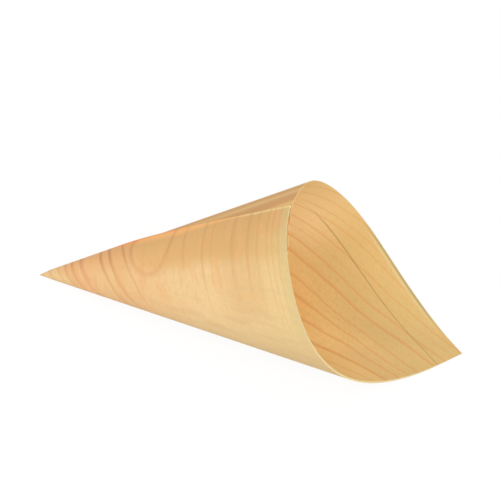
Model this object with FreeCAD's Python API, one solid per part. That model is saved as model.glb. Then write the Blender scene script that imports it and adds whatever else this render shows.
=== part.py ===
"""Food cone rolled from one rectangular sheet of two-ply wood veneer.

Lengths are millimetres and angles are degrees, except where a name says radians.

The sheet is laid out flat first, with the cone's tip as the flat origin, x towards the
front edge and y towards the lip edge. These two edges meet square at the long lip.
Rolling turns a flat point at distance r and flat angle q into a point at distance r from
the tip, so every straight line through the tip stays straight, and each edge of the
sheet becomes a curve on the cone.

The finished cone lies on its long lip: the tip is the origin, the floor is the XY plane
and the lip corner lies over +X. Azimuth is measured round the cone's axis from the line
to that corner, and grows from the lip towards the inner end of the sheet.
"""
import FreeCAD
import Part
import math
import os

DRIVING_SIZES = (
    ("frontEdge", 131.7, "flat distance from the tip to the front edge"),
    ("lipEdge", 134.1, "flat distance from the tip to the lip edge"),
    ("seamOffset", 10.9, "flat distance from the tip to the line of the outer seam"),
    ("seamStart", 14.0, "flat x where the seam leaves the cut that runs to the tip"),
    ("innerReach", 37.0, "flat x, past the tip, of the hidden inner corner"),
    ("innerDrop", 6.4, "how far the lip edge's inner part sinks on its way to that corner"),
    ("cornerLength", 6.5, "flat x over which the edge falls away at the inner corner"),
    ("cornerFall", 1.2, "how much lower the inner corner lies for that"),
    ("halfAngle", 16.3, "mean half angle of the cone"),
    ("ovalAngle", 0.30, "half angle gained across the oval's long way"),
    ("ovalAzimuth", 134.0, "azimuth of the oval's long way"),
    ("lobeAngle", 0.57, "half angle gained at each of three soft lobes"),
    ("lobeAzimuth", 54.5, "azimuth of the first lobe"),
    ("flatAngle", 0.25, "half angle lost in the middle of the flat that the cone lies on"),
    ("flatWidth", 10.0, "azimuth in which that flat dies out to either side"),
    ("flatAzimuth", -3.0, "azimuth of the flat's middle"),
    ("outerPly", 0.40, "thickness of the outer ply"),
    ("innerPly", 0.40, "thickness of the inner ply"),
    ("layerGap", 0.15, "air between two turns of the roll"),
    ("plyMarginLip", 12.9, "lip edge to the end of the inner ply, on the front edge"),
    ("plyMarginTop", 15.8, "lip edge to the end of the inner ply, abreast of the tip"),
    ("tipBore", 0.40, "radius left open where the roll closes into its solid tip"),
    ("longestStep", 6.0, "widest azimuth step between two points of a curve"),
)

doc = FreeCAD.newDocument("WoodenFoodCone")


def fill_size_sheet():
    """Put the driving sizes into a spreadsheet, one alias for each."""
    sheet = doc.addObject("Spreadsheet::Sheet", "Sizes")
    for row, (alias, value, meaning) in enumerate(DRIVING_SIZES, start=1):
        sheet.set(f"A{row}", meaning)
        sheet.set(f"B{row}", str(value))
        sheet.setAlias(f"B{row}", alias)
    doc.recompute()
    return sheet


size = fill_size_sheet()
SHEET_THICKNESS = size.outerPly + size.innerPly
TURN_PITCH = SHEET_THICKNESS + size.layerGap


# Section of the cone: straight lines through the tip, fanned round the axis

def from_flat(azimuth):
    """Azimuth from the flat's middle, the short way round, in widths of the flat."""
    offset = math.remainder(azimuth - math.radians(size.flatAzimuth), 2 * math.pi)
    return offset / math.radians(size.flatWidth)


def half_angle(azimuth):
    """Angle between the axis and the line at this azimuth, both in radians."""
    oval = size.ovalAngle * math.cos(2 * (azimuth - math.radians(size.ovalAzimuth)))
    lobes = size.lobeAngle * math.cos(3 * (azimuth - math.radians(size.lobeAzimuth)))
    flat = size.flatAngle * math.exp(-from_flat(azimuth) ** 2)
    return math.radians(size.halfAngle + oval + lobes - flat)


def half_angle_slope(azimuth):
    """Change of the half angle with azimuth, in radians for each radian."""
    oval = -2 * size.ovalAngle * math.sin(2 * (azimuth - math.radians(size.ovalAzimuth)))
    lobes = -3 * size.lobeAngle * math.sin(3 * (azimuth - math.radians(size.lobeAzimuth)))
    widths = from_flat(azimuth)
    flat = -2 * widths * size.flatAngle * math.exp(-widths ** 2) / math.radians(size.flatWidth)
    return math.radians(oval + lobes - flat)


def line_direction(azimuth):
    """Unit vector from the tip along the cone, with the axis along +Z."""
    tilt = half_angle(azimuth)
    return FreeCAD.Vector(
        math.sin(tilt) * math.cos(azimuth),
        math.sin(tilt) * math.sin(azimuth),
        math.cos(tilt),
    )


def outward_normal(azimuth):
    """Unit normal of the cone's surface along the line at this azimuth."""
    tilt = half_angle(azimuth)
    slope = half_angle_slope(azimuth)
    along_turn = FreeCAD.Vector(
        slope * math.cos(tilt) * math.cos(azimuth) - math.sin(tilt) * math.sin(azimuth),
        slope * math.cos(tilt) * math.sin(azimuth) + math.sin(tilt) * math.cos(azimuth),
        -slope * math.sin(tilt),
    )
    return along_turn.cross(line_direction(azimuth)).normalize()


def flat_rate(azimuth):
    """Flat angle used up by each radian of azimuth."""
    return math.hypot(math.sin(half_angle(azimuth)), half_angle_slope(azimuth))


def flat_turn(azimuth, intervals=96):
    """Flat angle between the lip corner and this azimuth, by Simpson's rule."""
    step = azimuth / intervals
    total = flat_rate(0) + flat_rate(azimuth)
    for i in range(1, intervals):
        total += flat_rate(i * step) * (4 if i % 2 else 2)
    return total * step / 3


# Layout of the flat sheet

LIP_CORNER = (size.frontEdge, size.lipEdge)
SEAM_CORNER = (size.frontEdge, -size.seamOffset)
SEAM_END = (size.seamStart, -size.seamOffset)
LIP_EDGE_BEND = (0.0, size.lipEdge)
INNER_BEND = (
    size.cornerLength - size.innerReach,
    size.lipEdge - size.innerDrop * (1 - size.cornerLength / size.innerReach),
)
INNER_CORNER = (-size.innerReach, size.lipEdge - size.innerDrop - size.cornerFall)
PLY_END_AT_FRONT = (size.frontEdge, size.lipEdge - size.plyMarginLip)
PLY_END_AT_TOP = (0.0, size.lipEdge - size.plyMarginTop)

SHEET_EDGES = (
    (SEAM_END, SEAM_CORNER),
    (SEAM_CORNER, LIP_CORNER),
    (LIP_CORNER, LIP_EDGE_BEND),
    (LIP_EDGE_BEND, INNER_BEND),
    (INNER_BEND, INNER_CORNER),
)
INNER_PLY_END = (PLY_END_AT_FRONT, PLY_END_AT_TOP)
LIP_ANGLE = math.atan2(LIP_CORNER[1], LIP_CORNER[0])


def rolled_azimuth(flat_point):
    """Azimuth in radians at which a flat point lands, the lip corner being at 0."""
    wanted = math.atan2(flat_point[1], flat_point[0]) - LIP_ANGLE
    azimuth = wanted / flat_rate(0)
    for _ in range(8):
        azimuth -= (flat_turn(azimuth) - wanted) / flat_rate(azimuth)
    return azimuth


def distance_to_line(azimuth, line):
    """Distance from the tip, along the cone, to a straight line of the flat sheet."""
    (x, y), (x_end, y_end) = line
    flat_angle = LIP_ANGLE + flat_turn(azimuth)
    moment = x * (y_end - y) - y * (x_end - x)
    return moment / (math.cos(flat_angle) * (y_end - y) - math.sin(flat_angle) * (x_end - x))


# Skins of the roll

FIRST_END = rolled_azimuth(SEAM_END)
TURN_CLOSES = FIRST_END + 2 * math.pi
PLY_STOPS = rolled_azimuth(PLY_END_AT_FRONT)
LAST_END = rolled_azimuth(INNER_CORNER)


def skin_depth(azimuth):
    """Inward shift of the outer skin, which is what makes the turns a spiral."""
    return TURN_PITCH * azimuth / (2 * math.pi)


TIP_RADIUS = size.tipBore + skin_depth(LAST_END) + SHEET_THICKNESS
TIP_HEIGHT = TIP_RADIUS / math.tan(math.radians(size.halfAngle))
TIP = FreeCAD.Vector(0, 0, 0)
RULING_DEGREE = 8
FLAT_REACH = 0.7


def skin_point(azimuth, distance, depth):
    """Point on a skin lying this deep under the outer skin."""
    shift = skin_depth(azimuth) + depth
    return line_direction(azimuth) * distance - outward_normal(azimuth) * shift


def root_point(azimuth, depth):
    """Point where a skin starts, in the plane that ends the solid tip."""
    drop = (skin_depth(azimuth) + depth) * outward_normal(azimuth).z
    return skin_point(azimuth, (TIP_HEIGHT + drop) / line_direction(azimuth).z, depth)


def edge_point(azimuth, line, depth):
    """Point of a skin on a straight line of the flat sheet."""
    return skin_point(azimuth, distance_to_line(azimuth, line), depth)


def section_corners(azimuth, edge, has_rebate):
    """Corners of the sheet's section, from the outer skin's root to the inner skin's.

    The inner ply stops short of the lip edge, which leaves a rebate there.
    """
    outer_skin = [root_point(azimuth, 0.0), edge_point(azimuth, edge, 0.0)]
    outer_ply_end = [edge_point(azimuth, edge, size.outerPly)]
    inner_ply_end = [edge_point(azimuth, edge, SHEET_THICKNESS)]
    if has_rebate:
        inner_ply_end = [
            edge_point(azimuth, INNER_PLY_END, size.outerPly),
            edge_point(azimuth, INNER_PLY_END, SHEET_THICKNESS),
        ]
    inner_skin = [root_point(azimuth, SHEET_THICKNESS)]
    return outer_skin + outer_ply_end + inner_ply_end + inner_skin


# Faces of the roll, one sector after another

def sector_ends():
    """Azimuths between which the sheet keeps one edge and one section."""
    corners = [rolled_azimuth(edge[0]) for edge in SHEET_EDGES]
    return sorted(corners + [PLY_STOPS, TURN_CLOSES, LAST_END])


def edge_of_sector(middle):
    """Sheet edge that ends the sector round this azimuth."""
    return [edge for edge in SHEET_EDGES if rolled_azimuth(edge[0]) < middle][-1]


def smooth_curve(points, azimuths):
    """Curve through points, with the azimuth as its parameter.

    A point weighs more the nearer it is to the tip. A straight line of the flat sheet is
    then straight in the grid of the faces too, so they need few facets.
    """
    scaled = Part.BSplineCurve()
    scaled.interpolate(Points=[p / p.Length for p in points], Parameters=azimuths)
    nearness = Part.BSplineCurve()
    plotted = [FreeCAD.Vector(a, 1 / p.Length, 0) for a, p in zip(azimuths, points)]
    nearness.interpolate(Points=plotted, Parameters=azimuths)
    weights = [pole.y for pole in nearness.getPoles()]
    curve = Part.BSplineCurve()
    curve.buildFromPolesMultsKnots(
        poles=[pole / weight for pole, weight in zip(scaled.getPoles(), weights)],
        mults=scaled.getMultiplicities(),
        knots=scaled.getKnots(),
        degree=scaled.Degree,
        weights=weights,
    )
    return curve


def ruled_surface(curve, far_poles, far_weights):
    """Surface swept by a straight line from a curve to one with the same knots."""
    surface = Part.BSplineSurface()
    surface.buildFromPolesMultsKnots(
        poles=[list(pair) for pair in zip(curve.getPoles(), far_poles)],
        weights=[list(pair) for pair in zip(curve.getWeights(), far_weights)],
        umults=curve.getMultiplicities(),
        vmults=[2, 2],
        uknots=curve.getKnots(),
        vknots=[0.0, 1.0],
        udegree=curve.Degree,
        vdegree=1,
    )
    return surface


def sheet_face(near, far):
    """Face between two curves of one sector.

    The degree is raised along the straight lines, which keeps the face as it is and lets
    its volume be summed closely.
    """
    surface = ruled_surface(near, far.getPoles(), far.getWeights())
    surface.increaseDegree(near.Degree, RULING_DEGREE)
    return surface.toShape()


def tip_face(root):
    """Face that runs from the outer skin's root to the tip."""
    return ruled_surface(root, [TIP] * root.NbPoles, root.getWeights()).toShape()


def polygon_face(points):
    """Flat face inside a closed outline of straight edges."""
    return Part.Face(Part.makePolygon(points + points[:1]))


def sector_curves(start, end):
    """Curves that the corners of the section draw along one sector."""
    middle = (start + end) / 2
    edge = edge_of_sector(middle)
    steps = max(3, math.ceil(math.degrees(end - start) / size.longestStep))
    azimuths = [start + (end - start) * i / steps for i in range(steps + 1)]
    sections = [section_corners(a, edge, middle > PLY_STOPS) for a in azimuths]
    return [smooth_curve(list(points), azimuths) for points in zip(*sections)]


def roll_faces():
    """Every face of the roll: skins, edges, solid tip, end caps and the bore's floor."""
    faces = []
    floor_edges = []
    ends = sector_ends()
    for start, end in zip(ends, ends[1:]):
        curves = sector_curves(start, end)
        faces += [sheet_face(near, far) for near, far in zip(curves, curves[1:])]
        floor_edges.append(curves[-1].toShape())
        if end <= TURN_CLOSES:
            faces.append(tip_face(curves[0]))
        else:
            floor_edges.append(curves[0].toShape())

    seam_cap = section_corners(FIRST_END, SHEET_EDGES[0], False)
    closing_point = root_point(TURN_CLOSES, 0.0)
    faces.append(polygon_face([TIP] + seam_cap + [closing_point]))
    floor_edges.append(Part.makeLine(seam_cap[-1], closing_point))

    inner_cap = section_corners(LAST_END, SHEET_EDGES[-1], True)
    faces.append(polygon_face(inner_cap))
    floor_edges.append(Part.makeLine(inner_cap[-1], inner_cap[0]))

    faces.append(Part.Face(Part.Wire(Part.sortEdges(floor_edges)[0])))
    return faces


def closed_solid(faces):
    """Solid inside faces that meet edge to edge."""
    shell = Part.Shell(faces)
    shell.sewShape()
    solid = Part.Solid(Part.Shell(shell.Faces))
    if solid.Volume < 0:
        solid.reverse()
    return solid


def lying_placement():
    """Turn the upright roll so that it lies on its flat, with the lip corner over +X.

    The floor touches the cone along two lines, one to each side of the flat's middle.
    """
    along = line_direction(0)
    middle = math.radians(size.flatAzimuth)
    reach = FLAT_REACH * math.radians(size.flatWidth)
    up = line_direction(middle - reach).cross(line_direction(middle + reach)).normalize()
    upright = FreeCAD.Rotation(along, up.cross(along), up, "ZXY")
    return FreeCAD.Placement(FreeCAD.Vector(0, 0, 0), upright.inverted())


# Document

cone = doc.addObject("Part::Feature", "veneer_cone")
cone.Label = "veneer_cone"
cone.Shape = closed_solid(roll_faces())
cone.Placement = lying_placement()
doc.recompute()


def check_document():
    """Stop if any object failed to build."""
    for item in doc.Objects:
        if "Invalid" in item.State or "Error" in item.State:
            raise RuntimeError(f"{item.Name} did not build: {item.State}")
        shape = getattr(item, "Shape", None)
        if shape is not None and (shape.isNull() or not shape.isValid()):
            raise RuntimeError(f"{item.Name} has no valid shape")


def write_parts(sub_parts):
    """Write one file for each sub-part, named by its label."""
    os.makedirs("parts", exist_ok=True)
    for sub_part in sub_parts:
        sub_part.Shape.exportStep(f"parts/{sub_part.Label}.step")


check_document()
if len(cone.Shape.Solids) != 1:
    raise RuntimeError(f"the roll came out as {len(cone.Shape.Solids)} solids")
write_parts([cone])
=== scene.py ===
import math

import bpy
from mathutils import Euler, Matrix, Vector


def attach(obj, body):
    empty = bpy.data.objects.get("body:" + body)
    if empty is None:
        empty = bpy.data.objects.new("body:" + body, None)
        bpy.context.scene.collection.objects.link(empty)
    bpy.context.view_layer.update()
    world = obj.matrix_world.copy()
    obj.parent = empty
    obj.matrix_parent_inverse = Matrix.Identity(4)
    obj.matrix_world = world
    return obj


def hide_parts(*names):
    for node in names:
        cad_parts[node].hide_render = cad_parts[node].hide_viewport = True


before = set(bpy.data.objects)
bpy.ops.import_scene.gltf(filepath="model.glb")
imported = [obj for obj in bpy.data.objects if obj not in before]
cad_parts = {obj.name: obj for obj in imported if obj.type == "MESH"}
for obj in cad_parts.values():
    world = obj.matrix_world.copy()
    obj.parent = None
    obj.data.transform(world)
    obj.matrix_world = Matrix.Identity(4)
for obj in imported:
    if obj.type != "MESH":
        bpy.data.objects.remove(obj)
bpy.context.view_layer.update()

MM = 0.001

# The flat sheet, in millimetres: the tip is the flat origin, x runs to the front edge and
# y to the lip edge
FRONT_EDGE = 131.7
LIP_EDGE = 134.1
SEAM_OFFSET = 10.9
SEAM_START = 14.0
INNER_REACH = 37.0
INNER_DROP = 6.4
CORNER_LENGTH = 6.5
CORNER_FALL = 1.2
PLY_MARGIN_LIP = 12.9
PLY_MARGIN_TOP = 15.8

# The roll
HALF_ANGLE = 16.3
OVAL_ANGLE, OVAL_AZIMUTH = 0.30, 134.0
LOBE_ANGLE, LOBE_AZIMUTH = 0.57, 54.5
FLAT_ANGLE, FLAT_WIDTH, FLAT_AZIMUTH = 0.25, 10.0, -3.0
FLAT_REACH = 0.7
OUTER_PLY = 0.40
INNER_PLY = 0.40
LAYER_GAP = 0.15
TIP_BORE = 0.40
INSET = 0.02

SEAM_END = (SEAM_START, -SEAM_OFFSET)
SEAM_CORNER = (FRONT_EDGE, -SEAM_OFFSET)
LIP_CORNER = (FRONT_EDGE, LIP_EDGE)
LIP_EDGE_BEND = (0.0, LIP_EDGE)
INNER_BEND = (
    CORNER_LENGTH - INNER_REACH, LIP_EDGE - INNER_DROP * (1 - CORNER_LENGTH / INNER_REACH)
)
INNER_CORNER = (-INNER_REACH, LIP_EDGE - INNER_DROP - CORNER_FALL)
PLY_END_AT_FRONT = (FRONT_EDGE, LIP_EDGE - PLY_MARGIN_LIP)
PLY_END_AT_TOP = (0.0, LIP_EDGE - PLY_MARGIN_TOP)
SHEET_EDGES = (
    (SEAM_END, SEAM_CORNER),
    (SEAM_CORNER, LIP_CORNER),
    (LIP_CORNER, LIP_EDGE_BEND),
    (LIP_EDGE_BEND, INNER_BEND),
    (INNER_BEND, INNER_CORNER),
)
INNER_PLY_END = (PLY_END_AT_FRONT, PLY_END_AT_TOP)
SHEET_THICKNESS = OUTER_PLY + INNER_PLY
TURN_PITCH = SHEET_THICKNESS + LAYER_GAP
LIP_ANGLE = math.atan2(LIP_EDGE, FRONT_EDGE)


# Rolling the flat sheet

def from_flat(azimuth):
    """Azimuth from the middle of the flat it lies on, in widths of the flat."""
    return math.remainder(azimuth - math.radians(FLAT_AZIMUTH), 2 * math.pi) / math.radians(FLAT_WIDTH)


def half_angle(azimuth):
    oval = OVAL_ANGLE * math.cos(2 * (azimuth - math.radians(OVAL_AZIMUTH)))
    lobes = LOBE_ANGLE * math.cos(3 * (azimuth - math.radians(LOBE_AZIMUTH)))
    flat = FLAT_ANGLE * math.exp(-from_flat(azimuth) ** 2)
    return math.radians(HALF_ANGLE + oval + lobes - flat)


def half_angle_slope(azimuth):
    oval = -2 * OVAL_ANGLE * math.sin(2 * (azimuth - math.radians(OVAL_AZIMUTH)))
    lobes = -3 * LOBE_ANGLE * math.sin(3 * (azimuth - math.radians(LOBE_AZIMUTH)))
    widths = from_flat(azimuth)
    flat = -2 * widths * FLAT_ANGLE * math.exp(-widths ** 2) / math.radians(FLAT_WIDTH)
    return math.radians(oval + lobes - flat)


def line_direction(azimuth):
    tilt = half_angle(azimuth)
    return Vector((
        math.sin(tilt) * math.cos(azimuth),
        math.sin(tilt) * math.sin(azimuth),
        math.cos(tilt),
    ))


def outward_normal(azimuth):
    tilt = half_angle(azimuth)
    slope = half_angle_slope(azimuth)
    along_turn = Vector((
        slope * math.cos(tilt) * math.cos(azimuth) - math.sin(tilt) * math.sin(azimuth),
        slope * math.cos(tilt) * math.sin(azimuth) + math.sin(tilt) * math.cos(azimuth),
        -slope * math.sin(tilt),
    ))
    return along_turn.cross(line_direction(azimuth)).normalized()


def flat_rate(azimuth):
    return math.hypot(math.sin(half_angle(azimuth)), half_angle_slope(azimuth))


def flat_turn(azimuth, intervals=96):
    step = azimuth / intervals
    total = flat_rate(0) + flat_rate(azimuth)
    for i in range(1, intervals):
        total += flat_rate(i * step) * (4 if i % 2 else 2)
    return total * step / 3


def rolled_azimuth(flat_point):
    wanted = math.atan2(flat_point[1], flat_point[0]) - LIP_ANGLE
    azimuth = wanted / flat_rate(0)
    for _ in range(8):
        azimuth -= (flat_turn(azimuth) - wanted) / flat_rate(azimuth)
    return azimuth


def distance_to_line(flat_angle, line):
    (x, y), (x_end, y_end) = line
    moment = x * (y_end - y) - y * (x_end - x)
    return moment / (math.cos(flat_angle) * (y_end - y) - math.sin(flat_angle) * (x_end - x))


FIRST_END = rolled_azimuth(SEAM_END)
TURN_CLOSES = FIRST_END + 2 * math.pi
PLY_STOPS = rolled_azimuth(PLY_END_AT_FRONT)
LAST_END = rolled_azimuth(INNER_CORNER)
EDGE_STARTS = [rolled_azimuth(edge[0]) for edge in SHEET_EDGES]


def skin_depth(azimuth):
    return TURN_PITCH * azimuth / (2 * math.pi)


TIP_RADIUS = TIP_BORE + skin_depth(LAST_END) + SHEET_THICKNESS
TIP_HEIGHT = TIP_RADIUS / math.tan(math.radians(HALF_ANGLE))

# The upright roll is turned so that it lies on its flat, with the lip corner over +X
FLAT_MIDDLE = math.radians(FLAT_AZIMUTH)
FLAT_SIDE = FLAT_REACH * math.radians(FLAT_WIDTH)
UP = line_direction(FLAT_MIDDLE - FLAT_SIDE).cross(line_direction(FLAT_MIDDLE + FLAT_SIDE)).normalized()
ACROSS = UP.cross(line_direction(0)).normalized()
LYING = Matrix((ACROSS.cross(UP), ACROSS, UP))


def rim_distance(azimuth):
    edge = [e for e, start in zip(SHEET_EDGES, EDGE_STARTS) if start < azimuth + 1e-9][-1]
    return distance_to_line(LIP_ANGLE + flat_turn(azimuth), edge) - INSET


def ply_distance(azimuth):
    if azimuth < PLY_STOPS:
        return rim_distance(azimuth)
    return distance_to_line(LIP_ANGLE + flat_turn(azimuth), INNER_PLY_END)


def root_distance(azimuth, depth):
    drop = (skin_depth(azimuth) + depth) * outward_normal(azimuth).z
    return (TIP_HEIGHT + drop) / line_direction(azimuth).z


def skin_point(azimuth, distance, depth):
    shift = skin_depth(azimuth) + depth
    upright = line_direction(azimuth) * distance - outward_normal(azimuth) * shift
    return LYING @ upright * MM


# Camera and light

CAMERA_PLACE = (0.18821, -0.42974, 0.47810)
CAMERA_AZIMUTH, CAMERA_ELEVATION, CAMERA_ROLL = 12.24, 44.95, 1.52
CAMERA_LENS, CAMERA_SENSOR = 108.0, 36.0
WHITE = (1.0, 1.0, 1.0, 1.0)
WORLD_LIGHT, WORLD_SEEN = 0.85, 1.0
FLOOR_GREY = (0.62, 0.62, 0.62, 1.0)
FLOOR_GLOW, FLOOR_GLOW_SHARE = 1.08, 0.85
FLOOR_SIZE, FLOOR_PLACE = 6.0, (0.09, 0.0, -0.0001)

# Name, place, point aimed at, size, power
LAMPS = (
    ("front_softbox", (0.0, -0.80, 0.50), (0.09, 0.0, 0.03), 0.6, 2.2),
    ("side_softbox", (0.85, -0.45, 0.35), (0.14, 0.0, 0.02), 0.5, 3.4),
)


def add_camera():
    data = bpy.data.cameras.new("photo_camera")
    camera = bpy.data.objects.new("photo_camera", data)
    bpy.context.scene.collection.objects.link(camera)
    data.sensor_width = CAMERA_SENSOR
    data.lens = CAMERA_LENS
    pitch = math.radians(90 - CAMERA_ELEVATION)
    turn = Euler((pitch, 0, math.radians(CAMERA_AZIMUTH))).to_matrix()
    roll = Matrix.Rotation(math.radians(CAMERA_ROLL), 3, "Z")
    camera.rotation_mode = "QUATERNION"
    camera.rotation_quaternion = (turn @ roll).to_quaternion()
    camera.location = CAMERA_PLACE
    bpy.context.scene.camera = camera


def add_lamp(name, place, target, size, power):
    data = bpy.data.lights.new(name, "AREA")
    data.shape = "SQUARE"
    data.size = size
    data.energy = power
    lamp = bpy.data.objects.new(name, data)
    bpy.context.scene.collection.objects.link(lamp)
    lamp.location = place
    aim = Vector(target) - Vector(place)
    lamp.rotation_mode = "QUATERNION"
    lamp.rotation_quaternion = aim.to_track_quat("-Z", "Y")


def seen_directly(nodes, links):
    """1 where the eye, a reflection or clear glass meets the backdrop, 0 for its light."""
    path = nodes.new("ShaderNodeLightPath")
    total = path.outputs["Is Camera Ray"]
    for ray in ("Is Glossy Ray", "Is Transmission Ray"):
        either = nodes.new("ShaderNodeMath")
        either.operation = "MAXIMUM"
        links.new(total, either.inputs[0])
        links.new(path.outputs[ray], either.inputs[1])
        total = either.outputs[0]
    return total


def mix_shaders(nodes, links, share, first, second):
    mix = nodes.new("ShaderNodeMixShader")
    if isinstance(share, float):
        mix.inputs["Fac"].default_value = share
    else:
        links.new(share, mix.inputs["Fac"])
    links.new(first.outputs[0], mix.inputs[1])
    links.new(second.outputs[0], mix.inputs[2])
    return mix


def coloured_node(nodes, kind, colour, strength=None):
    node = nodes.new(kind)
    node.inputs["Color"].default_value = colour
    if strength is not None:
        node.inputs["Strength"].default_value = strength
    return node


def add_world():
    world = bpy.data.worlds.new("studio")
    bpy.context.scene.world = world
    world.use_nodes = True
    nodes, links = world.node_tree.nodes, world.node_tree.links
    light = nodes["Background"]
    light.inputs["Color"].default_value = WHITE
    light.inputs["Strength"].default_value = WORLD_LIGHT
    seen = coloured_node(nodes, "ShaderNodeBackground", WHITE, WORLD_SEEN)
    mix = mix_shaders(nodes, links, seen_directly(nodes, links), light, seen)
    links.new(mix.outputs[0], nodes["World Output"].inputs["Surface"])


def floor_material():
    """Matt grey that keeps the shadow, lifted to white where it is seen directly."""
    material = bpy.data.materials.new("pale_floor")
    material.use_nodes = True
    nodes, links = material.node_tree.nodes, material.node_tree.links
    nodes.clear()
    output = nodes.new("ShaderNodeOutputMaterial")
    matt = coloured_node(nodes, "ShaderNodeBsdfDiffuse", FLOOR_GREY)
    glow = coloured_node(nodes, "ShaderNodeEmission", WHITE, FLOOR_GLOW)
    lifted = mix_shaders(nodes, links, FLOOR_GLOW_SHARE, matt, glow)
    floor = mix_shaders(nodes, links, seen_directly(nodes, links), matt, lifted)
    links.new(floor.outputs[0], output.inputs["Surface"])
    return material


def add_floor():
    bpy.ops.mesh.primitive_plane_add(size=FLOOR_SIZE, location=FLOOR_PLACE)
    floor = bpy.context.object
    floor.name = "floor"
    floor.data.materials.append(floor_material())


bpy.context.scene.view_settings.view_transform = "Standard"
add_camera()
add_world()
for lamp in LAMPS:
    add_lamp(*lamp)
bpy.ops.object.select_all(action="DESELECT")
add_floor()


# Materials: every field is worked out in millimetres on the flat sheet

# Millimetres in one unit of the map
MAP_UNIT = 100.0


class Shading:
    """A material under construction, with short ways to add its nodes."""

    def __init__(self, name):
        self.material = bpy.data.materials.new(name)
        self.material.use_nodes = True
        self.nodes = self.material.node_tree.nodes
        self.links = self.material.node_tree.links
        flat = self.nodes.new("ShaderNodeUVMap")
        flat.uv_map = "flat_sheet"
        to_mm = self.nodes.new("ShaderNodeMapping")
        to_mm.inputs["Scale"].default_value = (MAP_UNIT, MAP_UNIT, MAP_UNIT)
        self.links.new(flat.outputs["UV"], to_mm.inputs["Vector"])
        self.flat = to_mm.outputs["Vector"]
        parts = self.nodes.new("ShaderNodeSeparateXYZ")
        self.links.new(self.flat, parts.inputs[0])
        self.x, self.y = parts.outputs["X"], parts.outputs["Y"]

    def feed(self, socket, value):
        if isinstance(value, bpy.types.NodeSocket):
            self.links.new(value, socket)
        else:
            socket.default_value = value

    def maths(self, operation, *values):
        node = self.nodes.new("ShaderNodeMath")
        node.operation = operation
        for socket, value in zip(node.inputs, values):
            self.feed(socket, value)
        return node.outputs[0]

    def gap(self, field, place):
        """Distance to either side of a place."""
        return self.maths("ABSOLUTE", self.maths("SUBTRACT", field, place))

    def strongest(self, fields):
        total = fields[0]
        for field in fields[1:]:
            total = self.maths("MAXIMUM", total, field)
        return total

    def product(self, *values):
        total = values[0]
        for value in values[1:]:
            total = self.maths("MULTIPLY", total, value)
        return total

    def ramp(self, value, start, end, low=0.0, high=1.0):
        """Soft step from low at start to high at end."""
        node = self.nodes.new("ShaderNodeMapRange")
        node.interpolation_type = "SMOOTHSTEP"
        ends = (value, start, end, low, high)
        for name, given in zip(("Value", "From Min", "From Max", "To Min", "To Max"), ends):
            self.feed(node.inputs[name], given)
        return node.outputs["Result"]

    def noise(self, size, stretch=(1.0, 1.0), detail=2.0, turn=0.0, shift=0.0):
        """Noise with patches of this size in millimetres, drawn out along x and y."""
        turned = self.nodes.new("ShaderNodeMapping")
        turned.inputs["Location"].default_value = (shift, shift, 0.0)
        turned.inputs["Rotation"].default_value = (0.0, 0.0, math.radians(turn))
        self.links.new(self.flat, turned.inputs["Vector"])
        drawn = self.nodes.new("ShaderNodeMapping")
        drawn.inputs["Scale"].default_value = (
            1 / (size * stretch[0]), 1 / (size * stretch[1]), 1.0
        )
        self.links.new(turned.outputs["Vector"], drawn.inputs["Vector"])
        node = self.nodes.new("ShaderNodeTexNoise")
        node.noise_dimensions = "2D"
        node.inputs["Scale"].default_value = 1.0
        node.inputs["Detail"].default_value = detail
        self.links.new(drawn.outputs["Vector"], node.inputs["Vector"])
        return node.outputs["Fac"]

    def stain(self, colour, target, amount):
        """Mix a colour towards another by a share."""
        node = self.nodes.new("ShaderNodeMix")
        node.data_type = "RGBA"
        self.feed(node.inputs["Factor"], amount)
        for socket, value in ((node.inputs["A"], colour), (node.inputs["B"], target)):
            if isinstance(value, tuple):
                value = (*value, 1.0)
            self.feed(socket, value)
        return node.outputs["Result"]

    def patch(self, colour, tone, share, *steps):
        """Stain only inside soft steps, each given as for ramp."""
        return self.stain(colour, tone, self.product(*[self.ramp(*step) for step in steps], share))

    def ring(self, field, place, width):
        """Late wood of one growth ring: a sharp start, then a soft fade."""
        rise = self.ramp(field, place - width * 0.3, place + width * 0.1)
        fall = self.ramp(field, place + width * 0.1, place + width, 1.0, 0.0)
        return self.product(rise, fall)


PINE_GLOSS = 0.12
BUMP_STRENGTH, BUMP_DEPTH = 0.35, 0.1 * MM
EDGE_ROUGHNESS = 0.7
RING_RELIEF = 0.5


def pine_shader(wood, colour, relief, roughness):
    shader = wood.nodes["Principled BSDF"]
    wood.feed(shader.inputs["Base Color"], colour)
    wood.feed(shader.inputs["Roughness"], roughness)
    shader.inputs["Specular IOR Level"].default_value = PINE_GLOSS
    bump = wood.nodes.new("ShaderNodeBump")
    bump.inputs["Strength"].default_value = BUMP_STRENGTH
    bump.inputs["Distance"].default_value = BUMP_DEPTH
    wood.feed(bump.inputs["Height"], relief)
    wood.links.new(bump.outputs["Normal"], shader.inputs["Normal"])
    return wood.material


def sliced_face(wood, colour, rings, fibres):
    """Finish of a sliced face: raised, glossier fibres and slightly sunken rings."""
    relief = wood.maths("SUBTRACT", fibres, wood.product(rings, RING_RELIEF))
    return pine_shader(wood, colour, relief, wood.ramp(fibres, 0.2, 0.8, 0.62, 0.50))


# Marks that run over both a face and its cut edge: stains, and a band of painted shade along the lip
# edge

SEAM_ORANGE = (1.0, 0.52, 0.19)
SEAM_CREAM = (0.90, 0.67, 0.32)
SEAM_DEEP_ORANGE = (1.0, 0.38, 0.09)
SEAM_EDGE_RED = (0.98, 0.29, 0.05)
# Lip tones: a pale line, then a grey-green band that is painted shade
LIP_PALE = (0.66, 0.57, 0.29)
LIP_SHADE_GREY_GREEN = (0.40, 0.32, 0.13)
RING_END_RED = (0.68, 0.16, 0.01)

# Growth rings cut across at the inner turn's rim: place along x, half length
RIM_SPOTS = ((-21.7, 2.3), (-27.3, 1.3), (-33.6, 1.0), (-36.4, 0.6))


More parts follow.
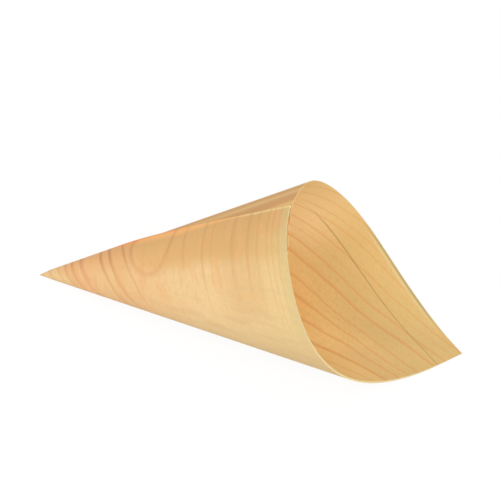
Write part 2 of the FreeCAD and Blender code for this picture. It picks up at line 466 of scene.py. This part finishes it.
def rim_spots(wood, colour):
    """Reddish ends of growth rings along the inner turn's rim."""
    rim = wood.maths("MULTIPLY_ADD", wood.x, INNER_DROP / INNER_REACH, LIP_EDGE)
    at_rim = ((wood.maths("SUBTRACT", rim, wood.y), 2.6, 1.6), (wood.y, 100.0, 110.0))
    for place, reach in RIM_SPOTS:
        at_spot = (wood.gap(wood.x, place), reach * 1.1, reach * 0.6)
        colour = wood.patch(colour, RING_END_RED, 0.95, at_spot, *at_rim)
    return colour


def lip_band_painted_shade(wood, colour):
    """Painted shade: a grey-green band along the middle of the lip edge, as of a shadowed gap there,
    with a pale line beside it.
    """
    off_lip = wood.maths("SUBTRACT", LIP_EDGE, wood.y)
    middle = ((wood.x, 52.0, 72.0), (wood.x, 122.0, 100.0))
    colour = wood.patch(colour, LIP_PALE, 0.5, (off_lip, 2.6, 1.9), (off_lip, 0.9, 1.3), *middle)
    return wood.patch(colour, LIP_SHADE_GREY_GREEN, 0.75, (off_lip, 1.3, 0.8), *middle)


def stained_seam(wood, colour):
    """Orange margin along the outer seam, deepest near the tip and cream at the mouth."""
    x = wood.x
    off_seam = wood.maths("ADD", wood.y, SEAM_OFFSET)
    width = wood.product(wood.ramp(x, 30.0, 55.0, 2.4, 4.8), wood.ramp(x, 68.0, 104.0, 1.0, 0.24))
    in_margin = wood.maths("DIVIDE", off_seam, width)
    tone = wood.stain(SEAM_ORANGE, SEAM_CREAM, wood.ramp(x, 98.0, 114.0))
    tone = wood.stain(SEAM_DEEP_ORANGE, tone, wood.ramp(x, 40.0, 62.0))
    colour = wood.patch(colour, tone, 1.0, (in_margin, 1.25, 0.35), (x, 18.0, 40.0, 0.35, 0.9))
    at_edge = wood.maths("DIVIDE", off_seam, wood.ramp(x, 46.0, 62.0, 3.0, 1.3))
    return wood.patch(
        colour, SEAM_EDGE_RED, 0.85, (at_edge, 1.0, 0.4), (x, 20.0, 36.0), (x, 88.0, 58.0)
    )


# Outer face

PALE = (0.842, 0.59, 0.296)
TAN = (0.745, 0.44, 0.175)
LOWER_SIDE = (0.73, 0.53, 0.252)
UNDERSIDE = (0.79, 0.50, 0.225)
TIP_PINK = (0.85, 0.43, 0.18)
TIP_TAN = (0.83, 0.49, 0.225)
TIP_GLOW = (0.90, 0.50, 0.25)
MOUTH_BROWN = (0.66, 0.41, 0.165)
MOUTH_CREAM = (0.75, 0.57, 0.25)
RIM_CREAM = (0.66, 0.54, 0.26)
OUTER_DRIFT = (0.69, 0.47, 0.235)
OUTER_PATCHES = (0.82, 0.44, 0.19)
OUTER_STREAKS = (0.66, 0.40, 0.17)
OUTER_FLECKS = (0.84, 0.42, 0.14)
OUTER_FIBRES = (0.62, 0.38, 0.16)
OUTER_SPECKS = (0.60, 0.36, 0.16)
RING_BROWN = (0.52, 0.18, 0.085)
RING_ORANGE = (0.70, 0.31, 0.13)
RING_AT_MOUTH = (0.60, 0.28, 0.11)

# Rings of the outer face: place along x at the seam, width, strength, and how far across
# the sheet they stay clear
OUTER_RINGS = (
    (1.8, 1.8, 0.50, 12.0),
    (5.8, 2.0, 0.65, 14.0),
    (9.7, 2.2, 0.80, 16.0),
    (14.8, 3.2, 0.80, 20.0),
    (26.3, 2.3, 1.00, 30.0),
    (31.5, 2.5, 1.00, 32.0),
    (39.5, 1.8, 0.80, 36.0),
    (80.2, 2.0, 0.42, 12.0),
    (90.1, 2.0, 0.54, 20.0),
    (94.6, 1.5, 0.38, 20.0),
    (105.0, 2.2, 0.52, 24.0),
    (112.4, 2.0, 0.55, 24.0),
    (117.3, 1.6, 0.40, 30.0),
    (122.2, 1.6, 0.42, 36.0),
    (124.7, 1.4, 0.36, 36.0),
    (127.6, 1.3, 0.36, 36.0),
)
RINGS_PAST_THE_TIP = (-3.5, -9.0, -15.5, -21.0, -27.5, -34.0)
PAST_WIDTH, PAST_STRENGTH = 2.6, 0.5
RING_CURVE, CURVE_FOOT = 2.9, 11.0
FADED_SHARE = 0.16

# One arched ring: the oval it follows, then its place in parts of the oval, width, strength
# and sway
ARCH_MIDDLE, ARCH_REACH = (62.6, -9.0), (11.7, 18.2)
ARCH_PLACE, ARCH_WIDTH, ARCH_STRENGTH, ARCH_SWAY = 0.92, 0.20, 0.60, 0.035

# Second turn, seen beyond the seam: stripes that run along y, placed as a share of the way
# from the inner corner to just past the tip
STRIPES_START, STRIPES_END = -37.0, 4.0
STRIPES = (
    (0.00, (0.73, 0.42, 0.15)), (0.30, (0.80, 0.49, 0.19)), (0.45, (0.70, 0.39, 0.14)),
    (0.60, (0.83, 0.51, 0.20)), (0.65, (0.64, 0.34, 0.13)), (0.73, (0.65, 0.35, 0.14)),
    (0.80, (0.79, 0.51, 0.21)), (0.87, (0.69, 0.38, 0.14)), (1.00, (0.50, 0.25, 0.07)),
)


def arched_ring(wood, sway):
    """One arched ring, open towards the seam."""
    across = wood.maths("DIVIDE", wood.maths("SUBTRACT", wood.x, ARCH_MIDDLE[0]), ARCH_REACH[0])
    along = wood.maths("DIVIDE", wood.maths("SUBTRACT", wood.y, ARCH_MIDDLE[1]), ARCH_REACH[1])
    squares = wood.maths("ADD", wood.product(across, across), wood.product(along, along))
    field = wood.maths("MULTIPLY_ADD", sway, ARCH_SWAY, wood.maths("SQRT", squares))
    return wood.product(wood.ring(field, ARCH_PLACE, ARCH_WIDTH), ARCH_STRENGTH)


def outer_rings(wood):
    """Rings that curve away near the tip and stand straight towards the mouth."""
    x, y = wood.x, wood.y
    sway = wood.maths("MULTIPLY_ADD", wood.noise(22.0, (0.6, 1.6)), 1.6, -0.8)
    run = wood.maths("SQRT", wood.maths("MAXIMUM", wood.maths("ADD", y, CURVE_FOOT), 0.0))
    curve = wood.product(run, wood.ramp(x, 52.0, 80.0, RING_CURVE, 0.0))
    field = wood.maths("SUBTRACT", wood.maths("ADD", x, sway), curve)
    underneath = wood.ramp(y, 58.0, 76.0, 0.0, 0.7)
    rings = [arched_ring(wood, sway)]
    for place, width, strength, reach in OUTER_RINGS:
        near = wood.ramp(y, reach * 0.4, reach * 1.2, strength, strength * FADED_SHARE)
        clear = wood.maths("MAXIMUM", near, underneath)
        rings.append(wood.product(wood.ring(field, place, width), clear))
    for place in RINGS_PAST_THE_TIP:
        rings.append(wood.product(wood.ring(field, place, PAST_WIDTH), PAST_STRENGTH))
    return wood.strongest(rings)


def outer_tones(wood):
    """Broad tones: tan by the seam, pale in the middle, darker below and warm at the tip."""
    x, y = wood.x, wood.y
    clouds = wood.noise(24.0, (1.0, 1.4), 3.0, shift=57.0)
    tan_reach = wood.maths(
        "ADD", wood.ramp(x, 66.0, 48.0, 0.0, 5.0), wood.ramp(x, 104.0, 124.0, 0.0, -3.5)
    )
    past_tan = wood.maths("ADD", wood.maths("MULTIPLY_ADD", clouds, 6.0, y), tan_reach)
    colour = wood.patch(PALE, TAN, 1.0, (past_tan, 6.0, 14.5, 1.0, 0.0), (x, 24.0, 44.0))
    colour = wood.patch(colour, LOWER_SIDE, 0.9, (y, 24.0, 60.0))
    colour = wood.patch(colour, UNDERSIDE, 1.0, (y, 60.0, 84.0), (clouds, 0.34, 0.62, 0.35, 1.0))
    colour = wood.patch(
        colour, TIP_PINK, 0.8, (x, 58.0, 30.0), (x, 9.0, 20.0, 0.1, 1.0), (y, 5.0, -2.0)
    )
    colour = wood.patch(
        colour, TIP_TAN, 0.55, (x, 84.0, 52.0), (x, 12.0, 24.0), (y, 44.0, 22.0), (y, -6.0, 4.0)
    )
    colour = wood.patch(colour, TIP_GLOW, 0.55, (x, 18.0, 24.0), (x, 36.0, 28.0), (y, -4.0, 2.0))
    return wood.patch(
        colour, MOUTH_BROWN, 0.4, (x, 94.0, 104.0), (x, 124.0, 116.0), (y, 44.0, 20.0)
    )


def outer_grain(wood, colour):
    """Drifts, patches, streaks and flecks between the rings, and the cream margin of the mouth."""
    x, y = wood.x, wood.y
    drift = wood.noise(4.5, (5.0, 0.8), turn=-24.0, shift=12.0)
    patches = wood.noise(7.0, (0.8, 1.6), shift=91.0)
    streaks = wood.noise(2.6, (1.0, 10.0), shift=31.0)
    flecks = wood.noise(1.5, (0.45, 4.0), 1.0, turn=6.0, shift=77.0)
    colour = wood.patch(colour, OUTER_DRIFT, 0.45, (drift, 0.45, 0.72), (y, 12.0, 30.0))
    colour = wood.patch(colour, OUTER_PATCHES, 0.42, (patches, 0.48, 0.66), (y, 40.0, 6.0))
    colour = wood.patch(
        colour, OUTER_STREAKS, 1.0, (streaks, 0.50, 0.85), (y, 0.0, 40.0, 0.26, 0.10)
    )
    colour = wood.patch(colour, OUTER_FLECKS, 0.5, (flecks, 0.73, 0.80), (y, 5.0, 20.0))
    colour = wood.patch(
        colour, MOUTH_CREAM, 0.5, (x, 106.0, 131.0), (y, 52.0, 40.0), (y, -4.0, 4.0)
    )
    return wood.patch(colour, RIM_CREAM, 0.5, (x, 126.0, 130.5), (y, 52.0, 40.0))


def striped_second_turn(wood, colour):
    place = wood.maths("SUBTRACT", wood.x, STRIPES_START)
    node = wood.nodes.new("ShaderNodeValToRGB")
    wood.feed(node.inputs[0], wood.maths("DIVIDE", place, STRIPES_END - STRIPES_START))
    stripes = node.color_ramp.elements
    while len(stripes) < len(STRIPES):
        stripes.new(0.5)
    for stripe, (position, tone) in zip(stripes, STRIPES):
        stripe.position = position
        stripe.color = (*tone, 1.0)
    return wood.patch(colour, node.outputs["Color"], 0.9, (wood.x, 3.0, 0.0), (wood.y, 14.0, 30.0))


def outer_face_material():
    wood = Shading("pine_outer_face")
    x, y = wood.x, wood.y
    rings = outer_rings(wood)
    fibres = wood.noise(0.40, (1.0, 22.0), 3.0)
    specks = wood.noise(0.8, (1.0, 3.0))
    colour = outer_grain(wood, outer_tones(wood))
    colour = stained_seam(wood, striped_second_turn(wood, colour))
    ring_tone = wood.stain(RING_BROWN, RING_ORANGE, wood.ramp(y, -4.0, 8.0))
    ring_tone = wood.stain(ring_tone, RING_AT_MOUTH, wood.ramp(x, 60.0, 90.0))
    ring_share = wood.product(rings, wood.ramp(y, -6.0, 16.0, 0.62, 0.46))
    colour = wood.stain(colour, ring_tone, ring_share)
    colour = wood.patch(
        colour, OUTER_FIBRES, 1.0, (fibres, 0.45, 0.75), (y, 0.0, 38.0, 0.18, 0.08)
    )
    colour = wood.patch(colour, OUTER_SPECKS, 0.16, (specks, 0.42, 0.72))
    return sliced_face(wood, colour, rings, fibres)


# Inner face

# The first two tones are partly the wood's own and partly painted: the low one is painted light, the
# high one painted shade
INNER_LOW_PAINTED_LIGHT = (0.91, 0.608, 0.245)
INNER_HIGH_PAINTED_SHADE = (0.665, 0.458, 0.180)
INNER_WARM = (0.84, 0.47, 0.15)
INNER_CREAM = (0.85, 0.632, 0.315)
INNER_FLOOR = (0.80, 0.535, 0.22)
INNER_SHADE = (0.71, 0.475, 0.195)
INNER_STREAKS = (0.66, 0.43, 0.18)
INNER_RING = (0.66, 0.22, 0.055)
INNER_FIBRES = (0.60, 0.36, 0.14)
INNER_SPECKS = (0.56, 0.32, 0.11)
# Painted shadow of the groove where the inner ply ends
PLY_END_SHADOW_BROWN = (0.33, 0.17, 0.055)

# Rings of the inner face: place along y at x = 0, width, strength. They climb by RING_FALL
# for each millimetre of x
RING_FALL = 0.24
INNER_RINGS = (
    (-43.0, 1.5, 0.6), (-35.5, 1.4, 0.8), (-27.0, 1.6, 0.7), (-18.0, 1.4, 0.6),
    (-10.5, 1.5, 0.8), (-1.5, 1.6, 0.7), (6.5, 1.4, 0.9), (14.5, 1.6, 0.7),
    (22.5, 1.5, 0.8), (30.0, 1.6, 0.7), (38.5, 1.5, 0.7), (47.6, 1.4, 0.6),
    (55.5, 1.4, 0.6), (62.4, 2.0, 1.0), (69.2, 1.3, 0.8), (74.4, 1.2, 0.75),
    (79.6, 1.2, 0.7), (87.4, 1.7, 0.85), (93.3, 1.3, 0.75), (97.9, 1.0, 0.35),
    (102.3, 1.1, 0.65), (109.3, 1.1, 0.6), (112.9, 1.0, 0.5), (118.5, 1.1, 0.5),
    (125.0, 1.2, 0.5),
)
GRAIN_TURN = -14.0

# Below BEND_START the rings turn aside, over BEND_REACH at most. The turn's slope is
# BEND_BASE plus BEND_RISE for each millimetre of x, and steady before BEND_FROM
BEND_START, BEND_REACH, BEND_FROM = 95.0, 11.0, 92.0
BEND_BASE, BEND_RISE = -1.416, 0.012


def inner_rings(wood):
    """Rings that slant over the sheet, and bend where the roll turns up at the bottom."""
    x, y = wood.x, wood.y
    sway = wood.maths("MULTIPLY_ADD", wood.noise(26.0, (1.8, 0.8), shift=11.0), 3.2, -1.6)
    below = wood.maths("MAXIMUM", wood.maths("SUBTRACT", BEND_START, y), 0.0)
    low = wood.maths("MINIMUM", below, BEND_REACH)
    bend = wood.maths("MULTIPLY_ADD", wood.maths("MAXIMUM", x, BEND_FROM), BEND_RISE, BEND_BASE)
    slope = wood.maths("MULTIPLY_ADD", x, -RING_FALL, y)
    field = wood.maths("ADD", wood.maths("SUBTRACT", slope, wood.product(low, bend)), sway)
    return wood.strongest([
        wood.product(wood.ring(field, place, width), strength)
        for place, width, strength in INNER_RINGS
    ])


def inner_tones(wood):
    """Broad tones: warm below, duller towards the lip edge and cream at the mouth's top. The
    warm-to-dull change is partly the wood's own tone, partly painted light below and painted shade
    towards the lip edge.
    """
    x, y = wood.x, wood.y
    clouds = wood.noise(30.0, (1.4, 1.0), 3.0, shift=40.0)
    upward = wood.maths("MULTIPLY_ADD", clouds, 8.0, y)
    # Lighter below is partly painted light, duller towards the lip edge partly painted shade
    colour = wood.stain(INNER_LOW_PAINTED_LIGHT, INNER_HIGH_PAINTED_SHADE, wood.ramp(upward, 90.0, 117.0))
    colour = wood.patch(colour, INNER_WARM, 0.3, (x, 90.0, 72.0), (y, 100.0, 88.0))
    colour = wood.patch(
        colour, INNER_CREAM, 1.0, (x, 66.0, 38.0), (y, 94.0, 106.0), (y, 134.0, 112.0, 0.5, 1.0)
    )
    colour = wood.patch(
        colour, INNER_FLOOR, 1.0, (x, 94.0, 110.0), (y, 108.0, 98.0), (y, 86.0, 95.0, 0.4, 0.9)
    )
    return wood.patch(
        colour, INNER_SHADE, 0.6, (x, 105.0, 113.0), (y, 109.0, 102.0), (y, 91.0, 97.0)
    )


def ply_end_painted_shadow(wood, colour):
    """Painted shadow: a dark line in the groove along the step where the inner ply ends."""
    slope = (PLY_MARGIN_TOP - PLY_MARGIN_LIP) / FRONT_EDGE
    ply_end = wood.maths("MULTIPLY_ADD", wood.x, slope, LIP_EDGE - PLY_MARGIN_TOP)
    off_line = wood.gap(wood.y, ply_end)
    return wood.patch(colour, PLY_END_SHADOW_BROWN, 0.54, (off_line, 0.42, 0.12), (wood.x, 32.0, 50.0))


def inner_face_material():
    wood = Shading("pine_inner_face")
    rings = inner_rings(wood)
    fibres = wood.noise(0.45, (22.0, 1.0), 3.0, GRAIN_TURN, 7.0)
    streaks = wood.noise(3.0, (9.0, 1.0), 2.0, GRAIN_TURN, 23.0)
    specks = wood.noise(0.8, (3.0, 1.0))
    clear = ((wood.x, 28.0, 76.0, 0.35, 1.0), (wood.y, 78.0, 106.0, 0.5, 1.0))
    colour = inner_tones(wood)
    colour = wood.patch(colour, INNER_STREAKS, 0.34, (streaks, 0.50, 0.85), *clear)
    colour = wood.stain(colour, INNER_RING, wood.product(rings, 0.48))
    colour = wood.patch(colour, INNER_FIBRES, 0.20, (fibres, 0.50, 0.80), *clear)
    colour = wood.patch(colour, INNER_SPECKS, 0.22, (specks, 0.42, 0.72), *clear)
    # Painted shadow along the step where the inner ply ends
    colour = ply_end_painted_shadow(wood, colour)
    # The grey-green lip band is painted shade
    colour = rim_spots(wood, lip_band_painted_shade(wood, colour))
    return sliced_face(wood, colour, rings, fibres)


# Cut edges

EDGE_PALE = (0.64, 0.505, 0.26)
EDGE_TAN = (0.72, 0.47, 0.21)
EDGE_GRAIN = (0.52, 0.36, 0.16)


def edge_material():
    """Pale edges, with the growth rings cut across as small reddish spots."""
    wood = Shading("pine_edge")
    grain = wood.noise(0.9, (1.0, 1.0), 3.0, shift=9.0)
    colour = wood.patch(EDGE_PALE, EDGE_TAN, 0.85, (wood.x, 26.0, 12.0))
    colour = wood.patch(colour, EDGE_GRAIN, 0.3, (grain, 0.40, 0.80))
    # The grey-green lip band on the edge is painted shade as well
    colour = rim_spots(wood, stained_seam(wood, lip_band_painted_shade(wood, colour)))
    return pine_shader(wood, colour, grain, EDGE_ROUGHNESS)


outer_face = outer_face_material()
inner_face = inner_face_material()
edge_face = edge_material()


# Pieces of the roll

ROWS = 12
WIDEST_STEP = 0.8
TIP_STEP = 5.0
SMOOTH_ANGLE = 30.0


def name_piece(name):
    piece = bpy.context.object
    piece.name = name
    piece.data.name = name
    return piece


def column_azimuths(first, last, widest_step):
    """Azimuths from first to last that include every corner of the sheet between them."""
    marks = sorted({first, last, *[
        a for a in EDGE_STARTS + [PLY_STOPS, TURN_CLOSES] if first < a < last
    ]})
    columns = [marks[0]]
    for start, end in zip(marks, marks[1:]):
        steps = math.ceil((end - start) / math.radians(widest_step))
        columns += [start + (end - start) * i / steps for i in range(1, steps + 1)]
    return columns


def flat_place(distance, flat_angle):
    """Place on the flat sheet, in units of the map."""
    reach = distance / MAP_UNIT
    return reach * math.cos(flat_angle), reach * math.sin(flat_angle)


def name_flat_layer(piece, flat_points):
    """Write the flat places of the vertices into the piece's map."""
    layer = piece.data.uv_layers.active
    layer.name = "flat_sheet"
    for loop in piece.data.loops:
        layer.data[loop.index].uv = flat_points[loop.vertex_index]


def rolled_ply(name, depth, far_distance):
    """A grid whose columns are rolled round the cone and whose rows run up from the tip."""
    columns = [
        (azimuth, LIP_ANGLE + flat_turn(azimuth), root_distance(azimuth, depth), far_distance(azimuth))
        for azimuth in column_azimuths(FIRST_END, LAST_END, WIDEST_STEP)
    ]
    last = len(columns) - 1
    bpy.ops.mesh.primitive_grid_add(
        x_subdivisions=last, y_subdivisions=ROWS, size=2.0, location=(0, 0, 0)
    )
    ply = name_piece(name)
    flat_points = {}
    for vertex in ply.data.vertices:
        azimuth, flat_angle, near, far = columns[round((vertex.co.x + 1) / 2 * last)]
        row = round((vertex.co.y + 1) / 2 * ROWS)
        distance = near + (far - near) * row / ROWS
        vertex.co = skin_point(azimuth, distance, depth)
        flat_points[vertex.index] = flat_place(distance, flat_angle)
    name_flat_layer(ply, flat_points)
    return ply


def face_outwards(piece, sample_outward):
    """Turn the grid over if its first face points inwards."""
    first = piece.data.polygons[0]
    if first.normal.dot(sample_outward) < 0:
        bpy.ops.object.mode_set(mode="EDIT")
        bpy.ops.mesh.select_all(action="SELECT")
        bpy.ops.mesh.flip_normals()
        bpy.ops.object.mode_set(mode="OBJECT")


def thicken(piece, thickness):
    """Give a rolled grid its thickness inwards, with its own material on the cut edges."""
    modifier = piece.modifiers.new("thickness", "SOLIDIFY")
    modifier.thickness = thickness * MM
    modifier.offset = -1.0
    modifier.use_rim = True
    modifier.material_offset = 1
    modifier.material_offset_rim = 2
    bpy.ops.object.modifier_apply(modifier=modifier.name)


def add_ply(name, depth, thickness, far_distance, materials):
    bpy.ops.object.select_all(action="DESELECT")
    ply = rolled_ply(name, depth, far_distance)
    face_outwards(ply, LYING @ outward_normal(FIRST_END))
    for material in materials:
        ply.data.materials.append(material)
    thicken(ply, thickness)
    bpy.ops.object.shade_smooth_by_angle(angle=math.radians(SMOOTH_ANGLE))
    return ply


outer_ply = add_ply(
    "outer_ply", INSET, OUTER_PLY - INSET, rim_distance, [outer_face, inner_face, edge_face]
)
inner_ply = add_ply(
    "inner_ply", OUTER_PLY, INNER_PLY, ply_distance, [inner_face, inner_face, edge_face]
)


def add_tip():
    """Closed point below the turns: a cone whose base follows the outermost turn."""
    columns = column_azimuths(FIRST_END, TURN_CLOSES, TIP_STEP)
    bpy.ops.object.select_all(action="DESELECT")
    bpy.ops.mesh.primitive_cone_add(vertices=len(columns), radius1=1.0, radius2=0.0, depth=1.0)
    tip = name_piece("tip")
    apex = max(tip.data.vertices, key=lambda v: v.co.z)
    ring = [v for v in tip.data.vertices if v != apex]
    ring.sort(key=lambda v: math.atan2(v.co.y, v.co.x) % (2 * math.pi))
    flat_points = {apex.index: (0.0, 0.0)}
    apex.co = LYING @ Vector((0, 0, INSET)) * MM
    for vertex, azimuth in zip(ring, columns):
        distance = root_distance(azimuth, INSET)
        vertex.co = skin_point(azimuth, distance, INSET)
        flat_points[vertex.index] = flat_place(distance, LIP_ANGLE + flat_turn(azimuth))
    name_flat_layer(tip, flat_points)
    tip.data.materials.append(outer_face)
    return tip


tip = add_tip()

bpy.ops.object.select_all(action="DESELECT")
for part in (outer_ply, inner_ply, tip):
    part.select_set(True)
bpy.context.view_layer.objects.active = outer_ply
bpy.ops.object.join()
outer_ply.name = "rolled_sheet"
outer_ply.data.name = "rolled_sheet"
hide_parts("veneer_cone")
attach(outer_ply, "root")
